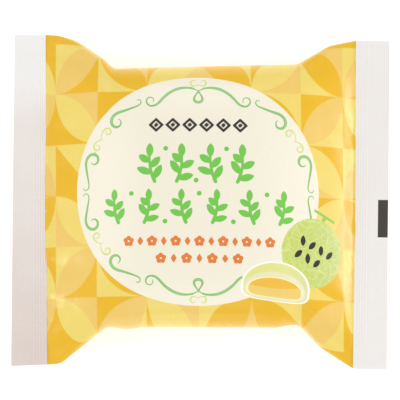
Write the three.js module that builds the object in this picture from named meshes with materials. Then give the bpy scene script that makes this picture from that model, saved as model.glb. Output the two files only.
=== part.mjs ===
// A melon bun in its sealed flow-wrap pack, lying on its back with the printed side up.
//
// The pack is one tube of printed film. Machine jaws press the tube flat and crimp it at both
// ends, and the bun and the air round it keep it open in between. The film doesn't stretch, so
// the sections keep its girth but for what small creases take up: wide and flat at the end
// seals, narrow and tall over the bun. The tube itself is closed by a long seam on the back,
// whose flap is folded over and lies against the film. Nothing is modelled inside: the pack is
// shut and can't be seen into, so it is one solid.
//
// Frame, in millimetres: +X runs from end seal to end seal, +Y to the upper edge of the
// print, +Z up out of the printed side. The origin is on the table, under the middle.
import * as THREE from "three";

const { clamp, lerp, smoothstep } = THREE.MathUtils;

// ---- Driving dimensions ----
const PACK_LENGTH = 150.2; // over both end seals
const FILM_WIDTH = 132.8; // the tube pressed flat: half the film's girth
const PACK_HEIGHT = 40; // the bun's base to its crown, in the film
const BODY_WIDTH = 104; // over the bun, across the pack
const SEAL_WIDTH = 13.2; // each crimped end seal, along the pack
const SEAL_LEVEL = 18; // how high the seals stand over the table
const SEAL_THICKNESS = 0.8; // two crimped layers of film, over the ridges
const SEAM_WIDTH = 10; // the folded flap of the long seam
const SEAM_THICKNESS = 0.4;

// ---- What follows from them ----
const HALF_LENGTH = PACK_LENGTH / 2;
const HALF_FILM = FILM_WIDTH / 2;
const HALF_BODY = BODY_WIDTH / 2;
const SEAL_LINE = HALF_LENGTH - SEAL_WIDTH; // where the pouch opens out of a seal
const LEFT_SLANT = 0.016; // the left jaw closed at a slight angle: mm along for each mm across
const SLANT_REACH = 25; // how far into the pouch that slant is felt

// The bun has slid towards the far side of its film, and lies slightly askew in it.
const BUN_OFFSET = 2.7;
const FAR_SIDE_TURN = 0.036; // rise of the far side for each mm along the pack
const NEAR_SIDE_TURN = 0.015;

// ---- Plan outline ----
// Between the bun and each seal the film is drawn out to its flat width: straight from a
// shoulder beside the bun to a knee near the seal, and nearly level from there.
const farBody = (x) => HALF_BODY + BUN_OFFSET + FAR_SIDE_TURN * x;
const nearBody = (x) => -HALF_BODY + BUN_OFFSET + NEAR_SIDE_TURN * x;
const SHOULDER = { farLeft: -35.8, farRight: 38.2, nearLeft: -36.9, nearRight: 39.9 };

const FAR_EDGE = [
  [-HALF_LENGTH, HALF_FILM],
  [-SEAL_LINE + 7, HALF_FILM - 0.6],
  [SHOULDER.farLeft, farBody(SHOULDER.farLeft)],
  [SHOULDER.farRight, farBody(SHOULDER.farRight)],
  [SEAL_LINE - 11, HALF_FILM - 3.2],
  [SEAL_LINE, HALF_FILM - 1.2],
  [HALF_LENGTH, HALF_FILM - 1],
];
const NEAR_EDGE = [
  [-HALF_LENGTH, -HALF_FILM],
  [-SEAL_LINE + 6.5, -HALF_FILM + 1.2],
  [SHOULDER.nearLeft, nearBody(SHOULDER.nearLeft)],
  [SHOULDER.nearRight, nearBody(SHOULDER.nearRight)],
  [SEAL_LINE - 13.5, -HALF_FILM + 8.6],
  [SEAL_LINE, -HALF_FILM + 0.5],
  [HALF_LENGTH, -HALF_FILM],
];
const CORNER_ROUNDING = 2.6;

// The height of a chain of straight lines at x.
function chainAt(points, x) {
  const last = points.length - 1;
  let i = 1;
  while (i < last && points[i][0] < x) i++;
  const [x0, y0] = points[i - 1];
  const [x1, y1] = points[i];
  return lerp(y0, y1, clamp((x - x0) / (x1 - x0), 0, 1));
}

// The same chain with its corners rounded: its mean over a short stretch round x.
function roundedChainAt(points, x) {
  const samples = 9;
  let sum = 0;
  for (let k = 0; k < samples; k++)
    sum += chainAt(points, x + CORNER_ROUNDING * ((2 * k) / (samples - 1) - 1));
  return sum / samples;
}

// ---- Heights along the middle of the pack ----
const FRONT_FULLNESS = 3; // how soon the front film reaches the bun's crown
const BACK_RISE = 22; // the back film leaves the table this far before a seal
const BACK_FULLNESS = 1.25;
const HALF_SEAL = SEAL_THICKNESS / 2;

const insideSeal = (x) => Math.max(SEAL_LINE - Math.abs(x), 0);

function frontHeight(x) {
  const share = insideSeal(x) / SEAL_LINE;
  const rise = 1 - Math.pow(1 - share, FRONT_FULLNESS);
  return lerp(SEAL_LEVEL + HALF_SEAL, PACK_HEIGHT, rise);
}

function backHeight(x) {
  const share = clamp(insideSeal(x) / BACK_RISE, 0, 1);
  return (SEAL_LEVEL - HALF_SEAL) * Math.pow(1 - share, BACK_FULLNESS);
}

// The sides bulge furthest a little below the seals' level where the bun fills the film.
const SIDE_LEVEL = 15;
const sideHeight = (x) => lerp(SEAL_LEVEL, SIDE_LEVEL, smoothstep(insideSeal(x), 0, 26));

// ---- Cross-sections ----
// Each half of a section is a superellipse: lens-shaped near a seal, and fuller over the bun,
// where the back is pressed flat by the table.
const END_POWER = 1.7;
const CROWN_POWER = 3.6;
const BASE_POWER = 4.4;
const FULL_SECTION_AT = 22; // distance from a seal
const BASE_PRESS = 1.05; // how much deeper the base would hang without the table
const SECTION_SAMPLES = 240;

function halfSection(x, front) {
  const near = roundedChainAt(NEAR_EDGE, x);
  const far = roundedChainAt(FAR_EDGE, x);
  const filled = smoothstep(insideSeal(x), 0, FULL_SECTION_AT);
  const power = lerp(END_POWER, front ? CROWN_POWER : BASE_POWER, filled);
  const side = sideHeight(x);
  const level = front ? frontHeight(x) : backHeight(x);
  const press = front ? 1 : lerp(1, BASE_PRESS, filled);
  const points = [];
  for (let k = 0; k <= SECTION_SAMPLES; k++) {
    const angle = (Math.PI * k) / SECTION_SAMPLES;
    const across = Math.sign(Math.cos(angle)) * Math.pow(Math.abs(Math.cos(angle)), 2 / power);
    const up = Math.min(press * Math.pow(Math.sin(angle), 2 / power), 1);
    points.push([lerp(near, far, (1 - across) / 2), lerp(side, level, up)]);
  }
  return points;
}

// The point of a chain of points at each share of its length.
function alongChain(points, shares) {
  const reach = [0];
  for (let k = 1; k < points.length; k++) {
    const [y0, z0] = points[k - 1];
    const [y1, z1] = points[k];
    reach.push(reach[k - 1] + Math.hypot(y1 - y0, z1 - z0));
  }
  const total = reach[reach.length - 1];
  let k = 1;
  return shares.map((share) => {
    while (k < reach.length - 1 && reach[k] < share * total) k++;
    const t = clamp((share * total - reach[k - 1]) / (reach[k] - reach[k - 1]), 0, 1);
    return [lerp(points[k - 1][0], points[k][0], t), lerp(points[k - 1][1], points[k][1], t)];
  });
}

// ---- Folds ----
// The film gathers where it leaves a seal. Broad pleats run in from each seal and die out
// towards the bun, and a valley runs from each end of a seal to the bun's shoulder. Folds are
// placed by the distance from the seal and along the film from its middle.
const PLEATS = 6; // on each side of each seal
const PLEAT_REACH = 50; // the outer pleats' distance from the middle
const PLEAT_DEPTH = 1;
const PLEAT_HALF_WIDTH = 4.2;
const PLEAT_LENGTH = 38;
const PLEAT_LEAN = 0.5;
const VALLEY = { depth: 1.5, halfWidth: 4.5, length: 27, atSeal: 61, atShoulder: 47 };

// An uneven number from 0 to 1 for each whole number, the same every time.
function uneven(n) {
  const spread = Math.sin(n * 12.9898 + 4.1) * 43758.5453;
  return spread - Math.floor(spread);
}
const bell = (offset, halfWidth) => Math.exp(-Math.pow(offset / halfWidth, 2));

function foldDepth(x, along, front) {
  const inside = insideSeal(x);
  const first = (x > 0 ? 100 : 0) + (front ? 0 : 50);
  let depth = 0;
  for (let k = 0; k < PLEATS; k++) {
    const n = first + k;
    const place = (k + 0.5 + 0.6 * (uneven(n) - 0.5)) / PLEATS;
    const middle = lerp(-PLEAT_REACH, PLEAT_REACH, place);
    const lean = PLEAT_LEAN * (uneven(n + 10) - 0.5) * inside;
    const run = inside / (PLEAT_LENGTH * lerp(0.5, 1, uneven(n + 20)));
    if (run >= 1) continue;
    const deep = PLEAT_DEPTH * lerp(0.35, 1, uneven(n + 30));
    depth += deep * 6.75 * run * Math.pow(1 - run, 2) * bell(along - middle - lean, PLEAT_HALF_WIDTH);
  }
  const run = inside / VALLEY.length;
  if (run < 1) {
    const middle = lerp(VALLEY.atSeal, VALLEY.atShoulder, run);
    depth += VALLEY.depth * Math.sin(Math.PI * run) * bell(Math.abs(along) - middle, VALLEY.halfWidth);
  }
  return depth;
}

// ---- The long seam's flap on the back ----
// The flap lies on the table, and its free edge and its root are steps in the film, which
// comes down to the table again a little way beside it. Measured along the film from the
// middle of the back.
const SEAM_FROM = -2;
const SEAM_TO = SEAM_FROM + SEAM_WIDTH;
const SEAM_STEP = 0.15;
const SEAM_SETTLE = 6;

function seamLift(along) {
  if (along > SEAM_FROM && along < SEAM_TO) return 0;
  const beside = Math.max(SEAM_FROM - along, along - SEAM_TO);
  return SEAM_THICKNESS * (1 - smoothstep(beside, 0, SEAM_SETTLE));
}

// ---- Where the surface is cut into faces ----
// Shares of the film's flat width, from the near side to the far side, for both halves.
const ACROSS_STEPS = 36;
const EDGE_SHARE = 0.5 / FILM_WIDTH; // a narrow bevel down each side of the seals
const SHARES = [
  ...Array.from({ length: ACROSS_STEPS - 1 }, (_, k) => (k + 1) / ACROSS_STEPS),
  ...[EDGE_SHARE, 1 - EDGE_SHARE, 0, 1],
  ...[SEAM_FROM, SEAM_TO].flatMap((edge) =>
    [-SEAM_STEP, SEAM_STEP].map((step) => 0.5 + (edge + step) / FILM_WIDTH),
  ),
].sort((a, b) => a - b);

// Places along the pack: close together by the seals, wider apart over the bun.
const HALF_STEPS = 24;
const CROWDING = 1.3;
const SEAL_STEPS = 2;
function stationsAlong() {
  const inner = [];
  for (let k = 0; k <= HALF_STEPS; k++)
    inner.push(SEAL_LINE * (1 - Math.pow(k / HALF_STEPS, CROWDING)));
  const outer = [];
  for (let k = SEAL_STEPS; k > 0; k--) outer.push(SEAL_LINE + (SEAL_WIDTH * k) / SEAL_STEPS);
  const half = [...outer, ...inner];
  return [...half.slice(0, -1).map((x) => -x), ...half.reverse()];
}

// The seals bend a little as they stand out of the pouch: the left one sags towards its near
// end, and the right one lifts and falls slightly along its length.
const LEFT_SAG = 1.6;
const RIGHT_WAVE = 0.5;
function sealBend(x, y) {
  const out = clamp((Math.abs(x) - SEAL_LINE) / SEAL_WIDTH, 0, 1);
  const across = y / HALF_FILM;
  return x < 0 ? -LEFT_SAG * out * (1 - across) * 0.5 : RIGHT_WAVE * out * Math.sin(3 * across);
}

// The left seal's slant moves the film near it along the pack.
function slanted(x, y) {
  if (x > 0) return x;
  const weight = x < -SEAL_LINE ? (HALF_LENGTH + x) / SEAL_WIDTH : 1 - insideSeal(x) / SLANT_REACH;
  return x - LEFT_SLANT * y * clamp(weight, 0, 1);
}

// ---- The surface ----
function ringAt(x) {
  const inSeal = insideSeal(x) <= 0;
  const front = alongChain(halfSection(x, true), SHARES);
  const back = alongChain(halfSection(x, false), SHARES);
  const last = SHARES.length - 1;
  const ring = [];
  for (let i = 0; i <= last; i++) {
    const edge = i === 0 || i === last;
    const along = (SHARES[i] - 0.5) * FILM_WIDTH;
    const flat = edge ? SEAL_LEVEL : SEAL_LEVEL + HALF_SEAL;
    ring.push([front[i][0], inSeal ? flat : front[i][1] - (edge ? 0 : foldDepth(x, along, true))]);
  }
  for (let i = last - 1; i > 0; i--) {
    const along = (SHARES[i] - 0.5) * FILM_WIDTH;
    const lift = foldDepth(x, along, false) + seamLift(along);
    ring.push(inSeal ? [front[i][0], SEAL_LEVEL - HALF_SEAL] : [back[i][0], back[i][1] + lift]);
  }
  return ring.map(([y, z]) => new THREE.Vector3(slanted(x, y), y, z + sealBend(x, y)));
}

function packGeometry() {
  const rings = stationsAlong().map(ringAt);
  const points = rings.flat();
  const size = rings[0].length;
  const last = SHARES.length - 1;
  const faces = [];
  // Four corners become two triangles that share the diagonal which lies further out, so that
  // the film's shoulders stay smooth where they cross the rows of faces.
  function quad(a, b, c, d) {
    const [ac, bd] = [points[c].clone().sub(points[a]), points[d].clone().sub(points[b])];
    const outward = ac.clone().cross(bd);
    const apart = points[a].clone().add(points[c]).sub(points[b]).sub(points[d]);
    if (apart.dot(outward) >= 0) faces.push(a, b, c, a, c, d);
    else faces.push(a, b, d, b, c, d);
  }
  for (let s = 0; s + 1 < rings.length; s++)
    for (let i = 0; i < size; i++) {
      const j = (i + 1) % size;
      quad(s * size + i, (s + 1) * size + i, (s + 1) * size + j, s * size + j);
    }
  // The cut ends of the seals: each front point faces the back point with the same share.
  for (const [start, flip] of [
    [0, false],
    [(rings.length - 1) * size, true],
  ])
    for (let i = 0; i < last; i++) {
      const across = [i, i + 1, (size - i - 1) % size, (size - i) % size].map((k) => start + k);
      const corners = across.filter((k, n) => across.indexOf(k) === n);
      if (flip) corners.reverse();
      if (corners.length === 4) quad(...corners);
      else faces.push(...corners);
    }
  const geometry = new THREE.BufferGeometry().setFromPoints(points);
  geometry.setIndex(faces);
  // The origin goes under the middle of the whole pack, at the table.
  geometry.computeBoundingBox();
  const middle = geometry.boundingBox.getCenter(new THREE.Vector3());
  geometry.translate(-middle.x, -middle.y, -geometry.boundingBox.min.z);
  geometry.computeVertexNormals();
  return geometry;
}

const PRINTED_FILM = new THREE.MeshStandardMaterial({
  name: "printed_film",
  color: new THREE.Color("#f0c050"),
  roughness: 0.35,
  metalness: 0,
});

const bunPack = new THREE.Group();
const pack = new THREE.Mesh(packGeometry(), PRINTED_FILM);
pack.name = "bun_pack";
bunPack.add(pack);

export default bunPack;
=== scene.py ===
"""A melon bun in its printed flow-wrap pack, lying on its back with the printed side up.

One tube of printed film holds the bun. Its ends are pressed flat and crimped, and the long seam
that closes the tube is a flap folded over on the back. The film's form is worked out from the
pack's sizes, in millimetres: +X from end seal to end seal, +Y to the upper edge of the print,
+Z out of the printed side. The print is laid out on the flat film, where u runs along the pack
and v across it from the middle of the design, and is then carried round the pouch.
"""

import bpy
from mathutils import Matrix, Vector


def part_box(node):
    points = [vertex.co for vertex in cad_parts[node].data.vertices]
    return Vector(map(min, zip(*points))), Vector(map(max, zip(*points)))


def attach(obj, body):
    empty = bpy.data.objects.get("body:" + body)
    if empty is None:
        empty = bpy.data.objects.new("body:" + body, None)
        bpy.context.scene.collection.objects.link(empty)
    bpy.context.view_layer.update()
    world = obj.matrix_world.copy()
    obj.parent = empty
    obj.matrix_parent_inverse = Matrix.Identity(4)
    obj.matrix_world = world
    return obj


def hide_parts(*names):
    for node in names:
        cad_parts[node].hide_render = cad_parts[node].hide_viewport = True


bl_info = {
    "name": "Flow-wrapped bun pack",
    "version": (1, 0, 0),
    "blender": (4, 5, 0),
    "location": "3D View > Sidebar > Bun pack",
    "description": "Film, end seals, seam and print of a bun's flow-wrap pack",
    "category": "Object",
}

import math

import bpy
import numpy as np
from mathutils import Matrix, Vector

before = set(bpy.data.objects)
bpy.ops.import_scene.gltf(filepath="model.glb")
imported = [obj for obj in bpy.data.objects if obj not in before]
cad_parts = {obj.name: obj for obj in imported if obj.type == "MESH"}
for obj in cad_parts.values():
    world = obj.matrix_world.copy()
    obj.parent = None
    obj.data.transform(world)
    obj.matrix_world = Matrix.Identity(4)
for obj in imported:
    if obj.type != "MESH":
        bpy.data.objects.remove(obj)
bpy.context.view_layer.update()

MM = 0.001
TURN = 2 * math.pi
LOW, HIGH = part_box("bun_pack")
PACK_SIZE = HIGH - LOW


# ---- Small helpers ----
def lerp(a, b, t):
    """From a at t = 0, straight, to b at t = 1."""
    return a + (b - a) * t


def smoothstep(x, low, high):
    """0 below low, 1 above high, and soft between them."""
    t = np.clip((x - low) / (high - low), 0, 1)
    return t * t * (3 - 2 * t)


def uneven(n):
    """An uneven number from 0 to 1 for each whole number, the same every time."""
    spread = np.sin(n * 12.9898 + 4.1) * 43758.5453
    return spread - np.floor(spread)


def uneven_pick(span, n):
    """An uneven value between the two ends of span for each n, the same every time."""
    return lerp(span[0], span[1], uneven(n))


def bell(offset, half_width):
    """1 in the middle, fading to either side."""
    return np.exp(-((offset / half_width) ** 2))


WHITE = 0.9  # how much light bare white film sends back


def ink(red, green, blue):
    """A printed colour given as 0 to 255 on a screen, as the share of light it sends back."""
    return tuple(
        WHITE * (c / 12.92 if c <= 0.04045 else ((c + 0.055) / 1.055) ** 2.4)
        for c in (red / 255, green / 255, blue / 255)
    )


# ---- What a user would change ----
def size(name, description, default):
    """A length that a user would change, in metres."""
    return bpy.props.FloatProperty(
        name=name, description=description, default=default, min=0, unit="LENGTH"
    )


def colour(name, description, default):
    """An ink that a user would change."""
    return bpy.props.FloatVectorProperty(
        name=name, description=description, default=default, size=3, min=0, max=1, subtype="COLOR"
    )


class PackSizes(bpy.types.PropertyGroup):
    """The pack's driving dimensions."""

    length: size("Length", "Over both end seals", PACK_SIZE.x)
    film_width: size("Film width", "The tube pressed flat: half the film's girth", 0.1328)
    height: size("Height", "The table to the bun's crown", PACK_SIZE.z)
    body_width: size("Body width", "Over the bun, across the pack", 0.104)
    seal_width: size("Seal width", "Each crimped end seal, along the pack", 0.0132)
    seal_level: size("Seal level", "How high the end seals stand over the table", 0.018)
    seal_thickness: size("Seal thickness", "Over the crimp's ridges", 0.0008)
    seam_width: size("Seam width", "The folded flap of the long seam", 0.010)
    seam_thickness: size("Seam thickness", "The flap with the film it lies against", 0.0004)
    cell: size("Pattern cell", "Side of the print's square cells", 0.0205)


class PrintColours(bpy.types.PropertyGroup):
    """The inks of the print."""

    orange: colour("Orange", "Deepest tone of the pattern", ink(234, 183, 20))
    yellow: colour("Yellow", "Clear tone of the pattern", ink(238, 213, 108))
    peach: colour("Peach", "Soft tone of the pattern", ink(237, 199, 102))
    cream: colour("Cream", "Ground of the oval field", ink(243, 237, 217))
    leaf: colour("Leaf green", "The two rows of sprigs", ink(116, 200, 76))
    scroll: colour("Scroll green", "The scroll frame", ink(126, 186, 98))
    light_scroll: colour("Light scroll green", "Inside the frame's broad strokes", ink(158, 208, 134))
    lime: colour("Lime", "The small pairs of curls in the scroll frame", ink(214, 221, 138))
    flower: colour("Flower orange", "The two rows of small flowers", ink(230, 126, 50))
    dark: colour("Dark brown", "The row of lozenges and the melon's seeds", ink(45, 38, 32))
    melon: colour("Melon green", "Rind of the pictured melon", ink(196, 210, 98))
    light_melon: colour("Light melon green", "The rind's lit side", ink(197, 209, 121))
    net: colour("Net", "Netting on the melon", ink(222, 232, 156))
    stalk: colour("Stalk green", "The melon's stalk", ink(150, 200, 92))
    skin: colour("Bun skin", "Skin of the pictured bun", ink(227, 226, 142))
    dough: colour("Dough", "Cut face of the pictured bun", ink(234, 230, 184))
    light_skin: colour("Light bun skin", "Right side of the bun's skin", ink(224, 223, 156))
    light_dough: colour("Light dough", "Right side of the cut face", ink(233, 233, 200))
    filling: colour("Filling", "Upper part of the pictured filling", ink(240, 188, 60))
    cream_filling: colour("Light filling", "Lower part of the pictured filling", ink(238, 206, 111))
    bare_film: colour("Bare film", "The unprinted film of the end seals", ink(242, 240, 238))


class Finish(bpy.types.PropertyGroup):
    """How glossy the film is and how it is lit."""

    roughness: bpy.props.FloatProperty(
        name="Film roughness", description="Satin sheen of the film", default=0.28, min=0, max=1
    )
    world: bpy.props.FloatProperty(
        name="Room light", description="Even light from all round", default=0.8, min=0
    )
    lamps: bpy.props.FloatProperty(
        name="Lamp power", description="Power of each large lamp", default=2.5, min=0, unit="POWER"
    )


# ---- Shader nodes as expressions ----
def maths(operation, reflected=False):
    """A method of a wire that adds one Math node, with the wire last where it is reflected."""

    def method(self, *others):
        inputs = (*others, self) if reflected else (self, *others)
        return self.paint.add("ShaderNodeMath", {"operation": operation}, dict(enumerate(inputs)))

    return method


class Wire:
    """A number that a shader works out. Arithmetic on it adds Math nodes."""

    def __init__(self, paint, socket):
        self.paint = paint
        self.socket = socket

    __add__ = __radd__ = maths("ADD")
    __sub__ = maths("SUBTRACT")
    __rsub__ = maths("SUBTRACT", reflected=True)
    __mul__ = __rmul__ = maths("MULTIPLY")
    __truediv__ = maths("DIVIDE")
    __rtruediv__ = maths("DIVIDE", reflected=True)
    __mod__ = maths("FLOORED_MODULO")
    __lt__ = maths("LESS_THAN")
    __gt__ = maths("GREATER_THAN")
    __abs__ = maths("ABSOLUTE")
    floor = maths("FLOOR")
    fraction = maths("FRACT")
    root = maths("SQRT")
    sine = maths("SINE")
    largest = maths("MAXIMUM")
    smallest = maths("MINIMUM")

    def clamp(self):
        """Kept from 0 to 1."""
        return self.largest(0).smallest(1)

    def between(self, low, high):
        """0 below low, 1 above high, and straight between them."""
        return ((self - low) / (high - low)).clamp()


class Paint:
    """One material's node tree."""

    def __init__(self, name):
        self.material = bpy.data.materials.new(name)
        self.material.use_nodes = True
        self.tree = self.material.node_tree
        self.tree.nodes.clear()

    def add(self, kind, settings=None, sockets=None, output=0):
        """Adds a node: its type, its settings, then its sockets' values or links."""
        node = self.tree.nodes.new(kind)
        for name, value in (settings or {}).items():
            setattr(node, name, value)
        for name, value in (sockets or {}).items():
            socket = node.inputs[name]
            if isinstance(value, Wire):
                self.tree.links.new(value.socket, socket)
            elif isinstance(value, tuple) and socket.type == "RGBA":
                socket.default_value = (*value[:3], 1)
            else:
                socket.default_value = value
        return Wire(self, node.outputs[output]) if node.outputs else None

    def vector(self, name):
        """The three numbers of a mesh attribute."""
        return self.split(self.add("ShaderNodeAttribute", {"attribute_name": name}, output="Vector"))

    def split(self, vector):
        """The three numbers of a vector."""
        first = self.add("ShaderNodeSeparateXYZ", sockets={0: vector})
        outputs = first.socket.node.outputs
        return [Wire(self, outputs[k]) for k in range(3)]

    def place(self):
        """The point on the object, in millimetres."""
        spot = self.add("ShaderNodeTexCoord", output="Object")
        scaled = {"operation": "SCALE"}
        return self.add("ShaderNodeVectorMath", scaled, {0: spot, "Scale": 1 / MM})

    def noise(self, vector, scale, detail=2.0):
        """Soft clouds from 0 to 1."""
        sockets = {"Vector": vector, "Scale": scale, "Detail": detail}
        return self.add("ShaderNodeTexNoise", sockets=sockets)

    def mix(self, share, under, over):
        """The colour over laid on the colour under."""
        sockets = {0: share, 6: under, 7: over}
        return self.add("ShaderNodeMix", {"data_type": "RGBA"}, sockets, output=2)

    def bump(self, height, strength, distance):
        """Low relief in the surface, without moving it."""
        sockets = {"Height": height, "Strength": strength, "Distance": distance}
        return self.add("ShaderNodeBump", sockets=sockets)

    def film(self, sockets):
        """Ends the tree in the film's plastic surface and gives back the material."""
        surface = self.add("ShaderNodeBsdfPrincipled", {}, sockets)
        self.add("ShaderNodeOutputMaterial", {}, {"Surface": surface})
        return self.material


# ---- The film's form ----
SEAL_SLANT = 0.016  # the left jaw closed at a slight angle: mm along for each mm across
SLANT_REACH = 25
BUN_OFFSET = 2.2  # the bun has slid towards the far side of its film
FAR_SIDE_TURN = 0.036  # and lies slightly askew: rise for each mm along the pack
NEAR_SIDE_TURN = 0.004
CORNER_ROUNDING = 1.8  # how far the outline's corners are rounded, to each side
CORNER_SAMPLES = 41
# How the film narrows from each seal to the bun: distance inside the seal, and how far the edge
# has drawn in. Then the film's edge beside the bun: place along, and how far it bulges out.
NARROWING = {
    "far": (((5.4, 0.2), (12.1, 2.3), (23.3, 9.9)), ((11, 3.2), (0, 1.1))),
    "near": (((6.0, 1.2),), ((13.5, 8.6), (0, 0.3))),
}
BESIDE_BUN = {
    "far": ((-35.6, 0.1), (38.2, 0.0)),
    "near": ((-36.9, 0.2), (-28.6, 1.2), (-22.5, 0.3), (31.5, 0.2), (35.5, -0.8), (39.9, -0.9)),
}
FRONT_FULLNESS = 3.0  # how steeply the front rises from the seals to the crown
SEAL_FILLET = 1.4  # the film leaves the seals level and bends up over about this distance
BACK_RISE = 22  # how far inside the seals the back has come down to the table
BACK_FULLNESS = 1.25
SIDE_LEVEL = 15  # how high the rims of the filled middle are over the table
SIDE_SETTLE = 26  # and how far inside the seals they have come down to it
# How square the film's section is at the seals, over the bun and under it, how far inside the
# seals it is full, and how flat the bun presses its underside.
END_POWER = 2.5
CROWN_POWER = 3.6
BASE_POWER = 4.4
FULL_SECTION_AT = 22
BASE_PRESS = 1.05
SECTION_SAMPLES = 400
PROFILE_SAMPLES = 2001
SAMPLE_CROWDING = 0.96  # how closely a section's samples crowd together at its two edges

PLEATS = 6  # broad pleats on each side of each seal
PLEAT_REACH = 50
PLEAT_DEPTH = 1.0
PLEAT_SCATTER = 0.6  # how unevenly they are spaced, and the shares that they vary by
PLEAT_LENGTH_SPAN = (0.5, 1)
PLEAT_DEPTH_SPAN = (0.35, 1)
PLEAT_HALF_WIDTH = 4.2
PLEAT_LENGTH = 38
PLEAT_LEAN = 0.5
SWELL_PEAK = 27 / 4  # brings the peak of t * (1 - t) ** 2 to 1
VALLEY_DEPTH = 1.5
VALLEY_HALF_WIDTH = 4.5
VALLEY_LENGTH = 27
VALLEY_AT_SEAL = 61
VALLEY_AT_SHOULDER = 47

GATHERS = 34  # fine creases on each side of each seal
GATHER_REACH = 64
GATHER_LENGTH = (4, 20)
GATHER_DEPTH = (0.08, 0.35)
GATHER_WIDTH = (0.8, 1.8)
GATHER_LEAN = 0.25
CORNER_LEAN = 0.45  # the gathers near the corners lean in towards the bun
PUCKERS = 11  # creases down each side of the bun
PUCKER_REACH = 46
PUCKER_AT = 57
PUCKER_WIDTH = (0.9, 2.4)
PUCKER_DEPTH = (0.1, 0.4)
PUCKER_LENGTH = (4, 9)
PUCKER_LEAN = 0.5
SWELLS = 5  # soft waves over the whole face
SWELL_LENGTH = (26, 48)
SWELL_DEPTH = 0.12
SWELL_SETTLE = 12  # how far inside the seals they are full

# Soft bends of the film beside the seals: at which end, from and to which place (distance
# inside the seal, and along the film across the pack), how high, and how far they reach inwards.
BENDS = (
    {"end": 1, "from": (4.6, 66.0), "to": (4.9, -46.0), "rise": 0.6, "reach": 9.0},
    {"end": 1, "from": (4.9, -34.0), "to": (1.0, -60.0), "rise": 0.4, "reach": 5.0},
    {"end": -1, "from": (10.6, -4.0), "to": (5.8, -58.0), "rise": 0.35, "reach": 3.5},
)
BEND_ROUNDING = 0.5

SEAM_FROM = -2  # the flap's root, along the film from the middle of the back
SEAM_SETTLE = 6  # how far beside the flap the film comes down to the table again
SEAL_SAG = 1.6  # how far the left seal's near end hangs down
SEAL_WAVE = 0.5  # and how far the right seal waves up and down
SEAL_WAVE_TURN = 3

# The film is drawn a little askew round the bun: where the design's middle lies along and
# across the pack, how much its cross lines and long lines lean, how much its long lines bow
# towards the near side at the pack's ends, and how far it is drawn out along and across the
# pack, and along it for each mm towards the near side.
PRINT_MIDDLE = (-0.55, 3.62)
PRINT_LEAN = (0.0098, -0.0011)
PRINT_BOW = 0.000472
PRINT_SPREAD = (1.0046, 0.99, 0.00016)
RIM_SLACK = (9.5, 4.0)  # how much of the print is tucked in at the near and the far rim
SLACK_FROM = 45.5  # how far from the print's middle line the tucking begins
SLACK_TO = 62  # and where it is all tucked in
SLACK_EASE = 1.5
SLACK_BESIDE = (20, 38)  # how far inside the seals it begins, and is full


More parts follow.
